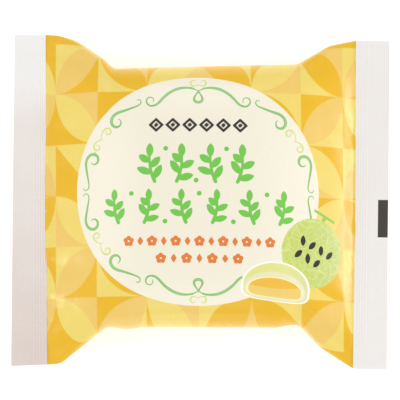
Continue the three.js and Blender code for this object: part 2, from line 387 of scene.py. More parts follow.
class Film:
    """Where the film lies round the bun and in the seals, in millimetres."""

    def __init__(self, sizes):
        self.half_length = sizes.length / MM / 2
        self.film_width = sizes.film_width / MM
        self.half_film = self.film_width / 2
        self.height = sizes.height / MM
        self.half_body = sizes.body_width / MM / 2
        self.seal_width = sizes.seal_width / MM
        self.seal_line = self.half_length - self.seal_width
        self.seal_level = sizes.seal_level / MM
        self.half_seal = sizes.seal_thickness / MM / 2
        self.seam_to = SEAM_FROM + sizes.seam_width / MM
        self.seam_thickness = sizes.seam_thickness / MM
        self.far_edge = self.edge_chain(1)
        self.near_edge = self.edge_chain(-1)
        self.profile_x = np.linspace(-self.seal_line, self.seal_line, PROFILE_SAMPLES)
        rise = np.hypot(np.diff(self.profile_x), np.diff(self.front_height(self.profile_x)))
        reach = np.concatenate([[0], np.cumsum(rise)])
        self.profile_u = reach - reach[-1] / 2

    def body_side(self, side, x):
        """The straight line that the film's edge keeps to beside the bun."""
        turn = FAR_SIDE_TURN if side > 0 else NEAR_SIDE_TURN
        return side * self.half_body + BUN_OFFSET + turn * x

    def edge_chain(self, side):
        """The plan outline: beside the bun, and from its shoulders to a knee by each seal."""
        name = "far" if side > 0 else "near"
        left, right = NARROWING[name]
        half = self.half_film
        points = [(-self.half_length, side * half)]
        points += [(inside - self.seal_line, side * (half - drop)) for inside, drop in left]
        points += [(x, self.body_side(side, x) + side * bulge) for x, bulge in BESIDE_BUN[name]]
        points += [(self.seal_line - inside, side * (half - drop)) for inside, drop in right]
        points.append((self.half_length, side * (half - right[-1][1])))
        return np.array(points).T

    def edge_at(self, chain, x):
        """The outline at each x, with its corners rounded."""
        spread = CORNER_ROUNDING * np.linspace(-1, 1, CORNER_SAMPLES)
        return np.interp(np.add.outer(x, spread), chain[0], chain[1]).mean(axis=1)

    def inside_seal(self, x):
        """How far each x is inside the nearer end seal."""
        return np.maximum(self.seal_line - np.abs(x), 0)

    def front_height(self, x):
        """How high the front's middle is over the table."""
        inside = self.inside_seal(x)
        share = inside * inside / (inside + SEAL_FILLET) / self.seal_line
        rise = 1 - (1 - share) ** FRONT_FULLNESS
        return lerp(self.seal_level + self.half_seal, self.height, rise)

    def back_height(self, x):
        """How high the back's middle is over the table."""
        share = np.clip(self.inside_seal(x) / BACK_RISE, 0, 1)
        return (self.seal_level - self.half_seal) * (1 - share) ** BACK_FULLNESS

    def outline(self, x, front):
        """The film's section at each x, edge to edge: place across, height and reach so far."""
        near, far = self.edge_at(self.near_edge, x), self.edge_at(self.far_edge, x)
        inside = self.inside_seal(x)
        filled = smoothstep(inside, 0, FULL_SECTION_AT)
        power = lerp(END_POWER, CROWN_POWER if front else BASE_POWER, filled)
        side = lerp(self.seal_level, SIDE_LEVEL, smoothstep(inside, 0, SIDE_SETTLE))
        level = self.front_height(x) if front else self.back_height(x)
        press = np.ones_like(x) if front else lerp(1, BASE_PRESS, filled)
        turn = np.linspace(0, 1, SECTION_SAMPLES + 1)
        angle = math.pi * (turn - SAMPLE_CROWDING * np.sin(TURN * turn) / TURN)
        bend = 2 / power[:, None]
        across = np.sign(np.cos(angle)) * np.abs(np.cos(angle)) ** bend
        up = np.minimum(press[:, None] * np.abs(np.sin(angle)) ** bend, 1)
        ys = lerp(near[:, None], far[:, None], (1 - across) / 2)
        zs = lerp(side[:, None], level[:, None], up)
        steps = np.hypot(np.diff(ys, axis=1), np.diff(zs, axis=1))
        reach = np.concatenate([np.zeros((len(x), 1)), np.cumsum(steps, axis=1)], axis=1)
        return ys, zs, reach

    def section(self, x, shares, front):
        """Height and place across of the film at each x and share of its width."""
        ys, zs, reach = self.outline(x, front)
        y, z = np.empty((len(x), len(shares))), np.empty((len(x), len(shares)))
        for row in range(len(x)):
            spots = shares * reach[row, -1]
            y[row] = np.interp(spots, reach[row], ys[row])
            z[row] = np.interp(spots, reach[row], zs[row])
        return y, z

    def folds(self, x, along, front):
        """Depth of the broad pleats by the seals and of the valleys to the bun's shoulders."""
        inside = self.inside_seal(x)[:, None]
        along = along[None, :]
        depth = np.zeros(np.broadcast_shapes(inside.shape, along.shape))
        for end in (0, 1):
            here = (x > 0)[:, None] == bool(end)
            for k in range(PLEATS):
                n = 100 * end + (0 if front else 50) + k
                place = (k + 0.5 + PLEAT_SCATTER * (uneven(n) - 0.5)) / PLEATS
                middle = lerp(-PLEAT_REACH, PLEAT_REACH, place)
                lean = PLEAT_LEAN * (uneven(n + 10) - 0.5) * inside
                length = PLEAT_LENGTH * uneven_pick(PLEAT_LENGTH_SPAN, n + 20)
                run = np.clip(inside / length, 0, 1)
                deep = PLEAT_DEPTH * uneven_pick(PLEAT_DEPTH_SPAN, n + 30)
                swell = SWELL_PEAK * run * (1 - run) ** 2
                depth += here * deep * swell * bell(along - middle - lean, PLEAT_HALF_WIDTH)
        run = np.clip(inside / VALLEY_LENGTH, 0, 1)
        middle = lerp(VALLEY_AT_SEAL, VALLEY_AT_SHOULDER, run)
        valley = VALLEY_DEPTH * np.sin(math.pi * run)
        return depth + valley * bell(np.abs(along) - middle, VALLEY_HALF_WIDTH)

    def creases(self, x, along, front):
        """Depth of the fine creases: short gathers by the seals, puckers down the sides."""
        inside = self.inside_seal(x)[:, None]
        station = x[:, None]
        along = along[None, :]
        depth = np.zeros(np.broadcast_shapes(inside.shape, along.shape))
        for end in (0, 1):
            here = (x > 0)[:, None] == bool(end)
            for k in range(GATHERS):
                n = 1000 + 200 * end + (0 if front else 400) + k
                middle = lerp(-GATHER_REACH, GATHER_REACH, (k + uneven(n)) / GATHERS)
                corner = abs(middle) / GATHER_REACH
                length = lerp(GATHER_LENGTH[0], GATHER_LENGTH[1], uneven(n + 0.3) * corner)
                lean = GATHER_LEAN * (uneven(n + 0.5) - 0.5)
                lean -= CORNER_LEAN * math.copysign(corner**4, middle)
                run = np.clip(inside / length, 0, 1)
                deep = uneven_pick(GATHER_DEPTH, n + 0.7) * (0.5 + 0.5 * corner)
                wide = uneven_pick(GATHER_WIDTH, n + 0.9)
                swell = np.sin(math.pi * run**0.6) * (1 - run)
                depth += here * deep * swell * bell(along - middle - lean * inside, wide)
        for side in (-1, 1):
            for k in range(PUCKERS):
                n = 2000 + 200 * (side > 0) + (0 if front else 400) + k
                middle = lerp(-PUCKER_REACH, PUCKER_REACH, (k + uneven(n)) / PUCKERS)
                past = side * along - PUCKER_AT
                lean = PUCKER_LEAN * (uneven(n + 0.5) - 0.5) * past
                wide = uneven_pick(PUCKER_WIDTH, n + 0.7)
                deep = uneven_pick(PUCKER_DEPTH, n + 0.9)
                spread = uneven_pick(PUCKER_LENGTH, n + 0.2)
                depth += deep * bell(station - middle - lean, wide) * bell(past, spread)
        calm = np.clip(inside / SWELL_SETTLE, 0, 1)
        for k in range(SWELLS):
            n = 3000 + 40 * (not front) + k
            heading = TURN * uneven(n)
            length = uneven_pick(SWELL_LENGTH, n + 0.4)
            phase = station * math.cos(heading) + along * math.sin(heading)
            depth += SWELL_DEPTH * calm * (1 + np.sin(TURN * (phase / length + uneven(n + 0.7)))) / 2
        return depth

    def bends(self, x, along):
        """Rise of the soft bends that run beside the seals."""
        inside = self.inside_seal(x)[:, None]
        along = along[None, :]
        rise = np.zeros(np.broadcast_shapes(inside.shape, along.shape))
        for bend in BENDS:
            here = (np.sign(x) == bend["end"])[:, None]
            share = np.clip((along - bend["from"][1]) / (bend["to"][1] - bend["from"][1]), 0, 1)
            line = lerp(bend["from"][0], bend["to"][0], share)
            fade = np.clip(4 * np.minimum(share, 1 - share), 0, 1)
            off = inside - line
            reach = np.where(off < 0, line, bend["reach"])
            peak = 1 - (np.hypot(off, BEND_ROUNDING) - BEND_ROUNDING) / reach
            rise += here * bend["rise"] * fade * np.maximum(peak, 0) * np.clip(inside, 0, 1)
        return rise

    def seam_lift(self, along):
        """How far the seam's flap lifts the film over and beside it off the table."""
        beside = np.maximum(np.maximum(SEAM_FROM - along, along - self.seam_to), 0)
        return self.seam_thickness * (1 - smoothstep(beside, 0, SEAM_SETTLE))

    def seal_bend(self, x, y):
        """The left seal sags towards its near end, and the right one waves a little."""
        out = np.clip((np.abs(x) - self.seal_line) / self.seal_width, 0, 1)
        across = y / self.half_film
        left = -SEAL_SAG * out * (1 - across) / 2
        return np.where(x < 0, left, SEAL_WAVE * out * np.sin(SEAL_WAVE_TURN * across))

    def slanted(self, x, y):
        """The left seal's slant moves the film near it along the pack."""
        in_seal = (self.half_length + x) / self.seal_width
        in_pouch = 1 - self.inside_seal(x) / SLANT_REACH
        weight = np.clip(np.where(x < -self.seal_line, in_seal, in_pouch), 0, 1)
        return x - np.where(x > 0, 0, SEAL_SLANT * y * weight)

    def seal_edges(self, x):
        """The cut edges of the seals at each x: near and far."""
        return self.edge_at(self.near_edge, x), self.edge_at(self.far_edge, x)

    def pouch(self, x, shares, front):
        """Points of the pouch's film: one row for each x, one column for each share."""
        y, z = self.section(x, shares, front)
        along = (shares - 0.5) * self.film_width
        inner = (4 * shares * (1 - shares) > 0)[None, :]
        depth = self.folds(x, along, front) + self.creases(x, along, front)
        if front:
            z = z + inner * (self.bends(x, along) - depth)
        else:
            z = z + inner * (depth + self.seam_lift(along)[None, :])
        column = np.broadcast_to(x[:, None], y.shape)
        return np.stack([self.slanted(column, y), y, z], axis=-1)

    def flat(self, x, shares, front):
        """Where the same points lie on the flat film, from the middle of the design."""
        u = np.interp(x, self.profile_x, self.profile_u)[:, None]
        edges = self.print_edges(x)
        if front:
            v = lerp(edges[0][:, None], edges[1][:, None], shares[None, :])
        else:
            v = self.past_edge(edges, (shares - 0.5) * self.film_width)
        v = self.tucked(x, v / PRINT_SPREAD[1])
        drawn = (u - PRINT_MIDDLE[0] + PRINT_LEAN[0] * v) / (PRINT_SPREAD[0] - PRINT_SPREAD[2] * v)
        return np.stack([drawn, v, np.zeros(v.shape)], axis=-1)

    def tucked(self, x, v):
        """Places v across the print, with the film's slack taken in beside the filled rims."""
        filled = smoothstep(self.inside_seal(x), SLACK_BESIDE[0], SLACK_BESIDE[1])[:, None]
        share = np.clip((abs(v) - SLACK_FROM) / (SLACK_TO - SLACK_FROM), 0, 1) ** SLACK_EASE
        slack = np.where(v < 0, RIM_SLACK[0], RIM_SLACK[1])
        return v - np.sign(v) * filled * share * slack

    def print_edges(self, x):
        """How far the near and far edges lie from the print's long middle line, over the front."""
        middle = PRINT_MIDDLE[1] + x * (PRINT_LEAN[1] - PRINT_BOW * x)
        ys, _, reach = self.outline(x, True)
        crossing = np.array([np.interp(middle[k], ys[k], reach[k]) for k in range(len(x))])
        return -crossing, reach[:, -1] - crossing

    def past_edge(self, edges, along):
        """How far points of the back lie from that line, round the edge on their side of the
        seam. Each is given by its place along the film from the middle of the back."""
        seam = (SEAM_FROM + self.seam_to) / 2
        near = edges[0][:, None] - (along + self.half_film)
        far = edges[1][:, None] + (self.half_film - along)
        return np.where(along < seam, near, far)


# ---- The print's ornaments, on the flat film ----
# A point u, v of the flat film is the complex number u + v j.
FAR_AWAY = 9.0  # a distance that stands for any that is longer
STROKE_STEPS = 120
CURL_EASE = 0.7  # how evenly a scroll's curl is spread over its share of the line
BRUSH_EASE = 1.3  # how slowly a stroke swells from its thin ends


def scroll_line(start, end, first, last, middle, first_share, last_share):
    """A line that bends by first and last turns over a share at its ends, and by middle
    turns all along, fitted between two points."""
    s = (np.arange(STROKE_STEPS) + 0.5) / STROKE_STEPS
    at_first = np.clip(1 - s / first_share, 0, 1) ** CURL_EASE
    at_last = np.clip(1 - (1 - s) / last_share, 0, 1) ** CURL_EASE
    bend = first * at_first / at_first.mean() + last * at_last / at_last.mean() + middle
    heading = np.cumsum(TURN * bend) / STROKE_STEPS
    path = np.concatenate([[0], np.cumsum(np.exp(1j * heading))])
    return start + path * (end - start) / path[-1]


def drop_line(top, height, width):
    """A closed loop that hangs from its pointed top."""
    t = np.linspace(0, TURN, LOOP_PARTS + 1)
    across = 0.65 * width * np.sin(t) * np.sin(t / 2) ** 1.5
    return top + across - 0.5j * height * (1 - np.cos(t))


def brush(path, thin, thick, belly=0.5):
    """Half-widths of a stroke that swells from its thin ends to its thick belly."""
    s = np.linspace(0, 1, len(path))
    t = np.where(s < belly, s / belly, (1 - s) / (1 - belly))
    return lerp(thin, thick, np.sin(t * math.pi / 2) ** BRUSH_EASE) / 2


SCROLL_MIDDLE = -0.36 + 0.56j
LOOP_TOP = 39.9j  # over the frame's middle
LOOP_SIZE = (4.7, 3.6)
LOOP_PARTS = 60
STROKE_MARGIN = 1.5  # how far round a stroke the film is measured from it


def quarter_scrolls():
    """The strokes of a quarter of the scroll frame, about its middle: path, half-widths, tone
    (1 is lime), and the share of each that is drawn in the quarter the melon and bun cover."""
    crest = scroll_line(LOOP_TOP, -17.7 + 35.5j, 0.09, -1.07, 0.27, 0.44, 0.44)
    shoulder = scroll_line(-24.1 + 36.2j, -31.5 + 28.6j, -0.58, 0.91, -0.07, 0.18, 0.56)
    upper_curl = scroll_line(-38.8 + 20.7j, -36.8 + 23.9j, -0.18, -0.93, -0.01, 0.58, 0.73)
    lower_curl = scroll_line(-38.2 + 20.6j, -41.1 + 18.4j, 0.06, 1.04, 0.02, 0.1, 0.88)
    side = scroll_line(-46.8 + 1.6j, -43.2 + 11.4j, 0.54, -0.9, 0.0, 0.2, 0.59)
    bow = scroll_line(-0.1 + 42.9j, -1.2 + 44.3j, -1.38, -1.9, 2.37, 0.66, 0.75)
    return [
        (crest, brush(crest, 0.34, 1.15, 0.3), 0, 1),
        (shoulder, brush(shoulder, 0.32, 1.2, 0.68), 0, 0),
        (upper_curl, brush(upper_curl, 0.3, 0.7, 0.6), 1, 0),
        (lower_curl, brush(lower_curl, 0.3, 0.7, 0.6), 1, 0),
        (side, brush(side, 0.3, 1.15, 0.75), 0, 0.55),
        (bow, brush(bow, 0.3, 0.65, 0.6), 1, 1),
    ]


def scroll_strokes():
    """The whole scroll frame: each quarter's strokes mirrored both ways, and two loops."""
    strokes = []
    for path, half_width, tone, covered_share in quarter_scrolls():
        for mirrored in (path, -path.conj(), path.conj()):
            strokes.append((mirrored, half_width, tone))
        shown = round(covered_share * len(path))
        if shown:
            strokes.append((-path[:shown], half_width[:shown], tone))
    loop = drop_line(LOOP_TOP, *LOOP_SIZE)
    belly = lerp(0.4, 1.1, np.sin(np.linspace(0, math.pi, len(loop))) ** 2) / 2
    strokes += [(loop, belly, 0), (loop.conj(), belly, 0)]
    return [(path + SCROLL_MIDDLE, half_width, tone) for path, half_width, tone in strokes]


def stroke_fields(points):
    """For each point: its place across the nearest stroke (from -1 to 1 inside it), how far
    outside the stroke it is, and the stroke's tone."""
    across = np.full(points.shape, FAR_AWAY)
    outside = np.full(points.shape, FAR_AWAY)
    tones = np.zeros(points.shape)
    for path, half_width, tone in scroll_strokes():
        near = np.full(points.shape, True)
        for place, line in ((points.real, path.real), (points.imag, path.imag)):
            near &= place > line.min() - STROKE_MARGIN
            near &= place < line.max() + STROKE_MARGIN
        spots = points[near]
        start, step = path[:-1], np.diff(path)
        offset = spots[:, None] - start[None, :]
        share = np.clip((offset / step).real, 0, 1)
        away = offset - share * step
        part = np.abs(away).argmin(axis=1)
        pick = np.arange(len(spots))
        away = away[pick, part]
        wide = lerp(half_width[part], half_width[part + 1], share[pick, part])
        sign = np.where((away / step[part]).imag >= 0, 1, -1)
        gap = np.abs(away) - wide
        closer = gap < outside[near]
        across[near] = np.where(closer, sign * np.abs(away) / wide, across[near])
        tones[near] = np.where(closer, tone, tones[near])
        outside[near] = np.where(closer, gap, outside[near])
    return np.stack([across, outside, tones], axis=-1)


def nearest(*distances):
    """Joins shapes: the distance to the nearest of them."""
    return np.minimum.reduce(distances)


def disc(points, centre, radius):
    """Distance to a round spot, negative inside it."""
    return np.abs(points - centre) - radius


def leaf(points, base, tip, half_width):
    """Distance to a leaf shape, pointed at base and tip."""
    axis = tip - base
    local = (points - (base + tip) / 2) / (axis / abs(axis))
    rounding = ((abs(axis) / 2) ** 2 + half_width**2) / (2 * half_width)
    return np.abs(local.real + 1j * (np.abs(local.imag) + rounding - half_width)) - rounding


def bar(points, start, end, half_width):
    """Distance to a straight bar with round ends."""
    share = np.clip(((points - start) / (end - start)).real, 0, 1)
    return np.abs(points - start - share * (end - start)) - half_width


PETALS = 5
# A flower's petals and its open middle, each for the flower's radius.
PETAL_OUT = 0.56
PETAL_RADIUS = 0.42
FLOWER_EYE = 0.2


def flower(points, centre, radius):
    """Round petals about an open middle."""
    out = 1j * PETAL_OUT * radius
    middles = [centre + out * np.exp(1j * TURN * k / PETALS) for k in range(PETALS)]
    petals = nearest(*[disc(points, middle, PETAL_RADIUS * radius) for middle in middles])
    return np.maximum(petals, -disc(points, centre, FLOWER_EYE * radius))


def lozenge(points, centre, half_width, half_height):
    """Distance to a lozenge that stands on its point."""
    local = points - centre
    share = np.abs(local.real) / half_width + np.abs(local.imag) / half_height
    return (share - 1) * half_width * half_height / math.hypot(half_width, half_height)


def row_spots(row):
    """The middles of a row's ornaments, evenly spaced about the row's own middle."""
    return [row["middle"] + (k - (row["count"] - 1) / 2) * row["pitch"] for k in range(row["count"])]


# The two rows of sprigs: the middle of each row, how many sprigs stand in it, how far apart,
# and how long each is.
SPRIG_ROWS = (
    {"middle": -1.2 + 11.1j, "count": 4, "pitch": 11.9, "length": 15.3},
    {"middle": 0.0 - 5.9j, "count": 6, "pitch": 13.3, "length": 13.5},
)
# Each leaf: its share of the way up the stem, its side, and how long it is for the sprig's length.
SPRIG_LEAVES = ((0.1, 1, 0.42), (0.32, -1, 0.42), (0.55, 1, 0.38), (0.76, -1, 0.34), (0.96, 0, 0.36))
SPRIG_LEAN = 0.2
SPRIG_BEND = 0.5
LEAF_SPREAD = 0.9
LEAF_WIDTH = 0.094  # half a leaf's width, for the sprig's length
STEM_PARTS = 8
STEM_LENGTH = 0.68
STEM_DROP = 0.13
BUD_RADIUS = 0.95
BUD_RISE = (-0.42, 0.4)  # the buds stand low and high by turns


def sprig(points, middle, length, lean):
    """A bent stem with a leaf at its tip and two pairs of leaves along it."""
    s = np.linspace(0, 1, STEM_PARTS + 1)
    bend = -math.copysign(SPRIG_BEND, lean)
    headings = 1j * np.exp(-1j * (lean + bend * (s - 0.5)))
    stem = np.concatenate([[0], np.cumsum((headings[1:] + headings[:-1]) / 2)]) / STEM_PARTS
    stem = middle + ((stem - stem[STEM_PARTS // 2]) * STEM_LENGTH - STEM_DROP * 1j) * length
    distances = []
    for k in range(STEM_PARTS):
        distances.append(bar(points, stem[k], stem[k + 1], lerp(0.7, 0.4, s[k])))
    for share, side, reach in SPRIG_LEAVES:
        root = np.interp(share, s, stem.real) + 1j * np.interp(share, s, stem.imag)
        heading = 1j * np.exp(-1j * (lean + bend * (share - 0.5) + side * LEAF_SPREAD))
        tip = root + heading * reach * length
        distances.append(leaf(points, root, tip, LEAF_WIDTH * length))
    return nearest(*distances)


def sprig_rows(points):
    """Sprigs that lean to and fro, with a bud between each and the next."""
    distances = []
    for row in SPRIG_ROWS:
        for k, spot in enumerate(row_spots(row)):
            lean = SPRIG_LEAN if k % 2 else -SPRIG_LEAN
            distances.append(sprig(points, spot, row["length"], lean))
            if k:
                bud = spot - row["pitch"] / 2 + BUD_RISE[k % 2] * 1j * row["length"]
                distances.append(disc(points, bud, BUD_RADIUS))
    return nearest(*distances)


FLOWER_ROWS = (
    {"middle": 0.1 - 19.4j, "count": 13, "pitch": 55.4 / 12},
    {"middle": 0.1 - 26.2j, "count": 7, "pitch": 5.0},
)
FLOWER_RADIUS = 2.2
DIAMOND_SIZE = (1.2, 1.9)  # half its width and height, as for the lozenges


def flower_rows(points):
    """Small flowers and diamonds by turns."""
    distances = []
    for row in FLOWER_ROWS:
        for k, spot in enumerate(row_spots(row)):
            if k % 2:
                distances.append(lozenge(points, spot, *DIAMOND_SIZE))
            else:
                distances.append(flower(points, spot, FLOWER_RADIUS))
    return nearest(*distances)


LOZENGES = {"middle": -0.4 + 26.6j, "count": 6, "pitch": 6.6}
LOZENGE_SIZE = (3.1, 2.9)
LOZENGE_LINE = 0.95  # the thickness of its outline
LOZENGE_EYE = (1.0, 0.95)


def lozenge_row(points):
    """Lozenges drawn in outline, with a small solid one in each."""
    distances = []
    for spot in row_spots(LOZENGES):
        outer = lozenge(points, spot, *LOZENGE_SIZE)
        distances.append(np.maximum(outer, -outer - LOZENGE_LINE))
        distances.append(lozenge(points, spot, *LOZENGE_EYE))
    return nearest(*distances)


MELON = 46.15 - 22.9j
MELON_RADII = (13.75, 13.9)
# The melon's stalk and crossbar: their two ends from the melon's middle, and half their width.
CROSSBAR = (1.0 + 17.1j, 10.3 + 12.7j, 0.55)
STALK = (5.8 + 14.5j, 4.3 + 12.4j, 0.8)
SEED_ROWS = ((4, 0.6), (3, -1.4))  # how many seeds, and how far the row is shifted along
SEED_PITCH = 4.5
SEED_LEVELS = (2.6, -3.0)
SEED_TILT = -0.42  # the rows' slant
SEED_TURNS = (1.95, 1.15)  # the seeds' slant to the rows, by turns
SEED_LENGTH = 4.4
SEED_HALF_WIDTH = 1.1


def melon_disc(points):
    """Distance to the melon's outline."""
    local = points - MELON
    share = np.hypot(local.real / MELON_RADII[0], local.imag / MELON_RADII[1])
    return (share - 1) * MELON_RADII[0]


def melon_stalk(points):
    """A short stalk with the crossbar of vine that is left on a picked melon."""
    parts = [bar(points, MELON + start, MELON + end, half) for start, end, half in (CROSSBAR, STALK)]
    return nearest(*parts)


def melon_seeds(points):
    """Two slanted rows of seeds."""
    along = np.exp(1j * SEED_TILT)
    distances = []
    for row, (count, shift) in enumerate(SEED_ROWS):
        for k in range(count):
            place = shift + SEED_PITCH * (k - (count - 1) / 2) + SEED_LEVELS[row] * 1j
            middle = MELON + place * along
            half = SEED_LENGTH / 2 * along * np.exp(1j * SEED_TURNS[(k + row) % 2])
            distances.append(leaf(points, middle - half, middle + half, SEED_HALF_WIDTH))
    return nearest(*distances)


BUN = 30.4 - 37.0j
BUN_TILT = -0.106
# The bun's outline, its cut face and its filling: middle from BUN, half width, and height of
# the dome above the middle and of the foot below it.
BUN_SHAPES = (
    (0, 14.15, 10.2, 6.05),
    (-0.45 - 1.45j, 12.75, 7.5, 3.9),
    (-0.35 - 1.35j, 10.8, 4.9, 2.95),
)
DOME_POWER = 2
FOOT_POWER = 4


def bun_shape(points, middle, half_width, above, below):
    """Distance to a bun cut across: a dome on a flatter foot."""
    local = (points - BUN) / np.exp(1j * BUN_TILT) - middle
    along, up = np.abs(local.real / half_width), local.imag
    dome = (along**DOME_POWER + np.abs(up / above) ** DOME_POWER) ** (1 / DOME_POWER)
    foot = (along**FOOT_POWER + np.abs(up / below) ** FOOT_POWER) ** (1 / FOOT_POWER)
    return (np.where(up > 0, dome, foot) - 1) * (above + below) / 2


# ---- Meshes ----
def graded(low, high, fine_low, fine_high, fine, coarse):
    """Places from low to high, close together between fine_low and fine_high."""
    parts = []
    spans = ((low, fine_low, coarse), (fine_low, fine_high, fine), (fine_high, high, coarse))
    for start, end, step in spans:
        count = max(1, round((end - start) / step))
        parts.append(np.linspace(start, end, count + 1)[:-1])
    return np.concatenate([*parts, [high]])


def ring_quads(rings):
    """Numbers the points of a row of closed rings, and skins each ring to the next."""
    count, around = rings.shape[:2]
    index = np.arange(count * around).reshape(count, around)
    following = np.roll(index, -1, axis=1)
    quads = np.stack([index[:-1], index[1:], following[1:], following[:-1]], axis=-1)
    return index, quads.reshape(-1, 4).tolist()


def turned_face(face, flip):
    """A face's point numbers as whole numbers, the other way round where asked."""
    face = [int(n) for n in face]
    return face[::-1] if flip else face


def build_mesh(name, points, faces, attributes=None, bake=None):
    """A smooth-shaded mesh from points in millimetres."""
    mesh = bpy.data.meshes.new(name)
    mesh.from_pydata((np.asarray(points) * MM).tolist(), [], faces)
    for attribute, values in (attributes or {}).items():
        layer = mesh.attributes.new(attribute, "FLOAT_VECTOR", "POINT")
        layer.data.foreach_set("vector", np.asarray(values, np.float32).ravel())
    if bake is not None:
        corners = np.empty(len(mesh.loops), np.int32)
        mesh.loops.foreach_get("vertex_index", corners)
        layer = mesh.uv_layers.new(name="OFBake")
        layer.data.foreach_set("uv", np.asarray(bake, np.float32)[corners].ravel())
    mesh.shade_smooth()
    mesh.validate()
    piece = bpy.data.objects.new(name, mesh)
    bpy.context.scene.collection.objects.link(piece)
    return piece


def keep(piece, material):
    """Gives the piece its finish and makes it stand for the pack's solid."""
    piece.data.materials.append(material)
    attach(piece, "root")
    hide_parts("bun_pack")


FINE_STEP = 0.45
COARSE_STEP = 0.62
FINE_REACH_ALONG = 47
FINE_REACH_ACROSS = 45
BACK_SKIP = 4  # the back has one column of points for this many on the front
TUCK = 0.3  # how far the pouch's film runs into each seal
BAKE_SPLIT = 0.64  # the front's share of the film's flat picture
BAKE_GAP = 0.01
BAKE_MARGIN = 0.004


def pouch_grid(film):
    """The x stations and the shares of the film's width where the pouch has its points."""
    reach = film.seal_line
    inner = graded(-reach, reach, -FINE_REACH_ALONG, FINE_REACH_ALONG, FINE_STEP, COARSE_STEP)
    half = film.half_film
    across = graded(-half, half, -FINE_REACH_ACROSS, FINE_REACH_ACROSS, FINE_STEP, COARSE_STEP)
    steps = len(across) - 1
    short = -steps % BACK_SKIP
    if short:
        across = np.interp(np.linspace(0, steps, steps + short + 1), np.arange(steps + 1), across)
    return inner, across / film.film_width + 0.5


def pouch_mesh(film):
    """The pouch: printed front and back, closed inside the end seals."""
    x, shares = pouch_grid(film)
    back_shares = shares[::BACK_SKIP][1:-1]
    front = film.pouch(x, shares, True)
    back = film.pouch(x, back_shares, False)
    flat = np.concatenate([film.flat(x, shares, True), film.flat(x, back_shares[::-1], False)], axis=1)
    rings = np.concatenate([front, back[:, ::-1]], axis=1)
    # One more ring at each end, pressed flat inside the seal.
    tuck = np.array([TUCK, 0, 0])
    rings = np.concatenate([rings[:1] - tuck, rings, rings[-1:] + tuck])
    flat = np.concatenate([flat[:1], flat, flat[-1:]])
    index, faces = ring_quads(rings)
    # The end caps: each face joins two points of the back to the run of front points over them.
    last = len(shares) - 1
    for ring, flip in ((index[0], False), (index[-1], True)):
        rows = [ring[0], *ring[:last:-1], ring[last]]
        for k in range(len(rows) - 1):
            front_run = list(ring[k * BACK_SKIP : (k + 1) * BACK_SKIP + 1])
            back_run = [b for b in (rows[k + 1], rows[k]) if b not in front_run]
            faces.append(turned_face(front_run + back_run, flip))
    u = (flat[:, :, 0] - flat[:, :, 0].min()) / np.ptp(flat[:, :, 0])
    share = np.concatenate([shares, back_shares[::-1]])
    on_front = np.arange(len(share)) < len(shares)
    back_top = 1 - BAKE_SPLIT - BAKE_GAP
    v = np.where(on_front, lerp(1 - BAKE_SPLIT, 1, share), lerp(0, back_top, share))
    u = lerp(BAKE_MARGIN, 1 - BAKE_MARGIN, u)
    bake = np.stack([u, np.broadcast_to(v, u.shape)], axis=-1)
    spots = flat[:, :, 0].ravel() + 1j * flat[:, :, 1].ravel()
    attributes = {"flat_film": flat.reshape(-1, 3), **print_fields(spots)}
    return build_mesh("film_pouch", rings.reshape(-1, 3), faces, attributes, bake.reshape(-1, 2))


def print_fields(spots):
    """The distance of every point of the film to each ornament's outline."""
    fields = {
        "rows": [sprig_rows(spots), flower_rows(spots), lozenge_row(spots)],
        "melon": [melon_disc(spots), melon_stalk(spots), melon_seeds(spots)],
        "bun": [bun_shape(spots, *shape) for shape in BUN_SHAPES],
    }
    for name, distances in fields.items():
        fields[name] = np.clip(np.stack(distances, axis=-1), -FAR_AWAY, FAR_AWAY)
    return {"scrolls": stroke_fields(spots), **fields}


# How far out from the pouch the deeper crimp sets in, and how far out it fades to the finer one.
CRIMP_START = (0.35, 0.9)
CRIMP_END = (4.7, 5.5)
CRIMP_PITCH = 1.05
CRIMP_DEPTH = 0.06
FINE_PITCH = 0.8
FINE_DEPTH = 0.02
CRIMP_PRESS = (0.6, 0.2)  # how far the top and bottom are pressed in, for the crimp's depth
# The soft waves of a seal across the pack: height, turn for each 10 mm, and start at each side.
SOFT_WAVES = ((0.10, 2.7, 0, 1.3), (0.16, 1.1, 0.8, 1))
SOFT_SETTLE = 8  # how far out they reach their full height
SEAL_ROUNDING = 90  # how tightly its long edges are rounded
SEAL_STEP_ALONG = 0.13
SEAL_STEP_ACROSS = 1.1


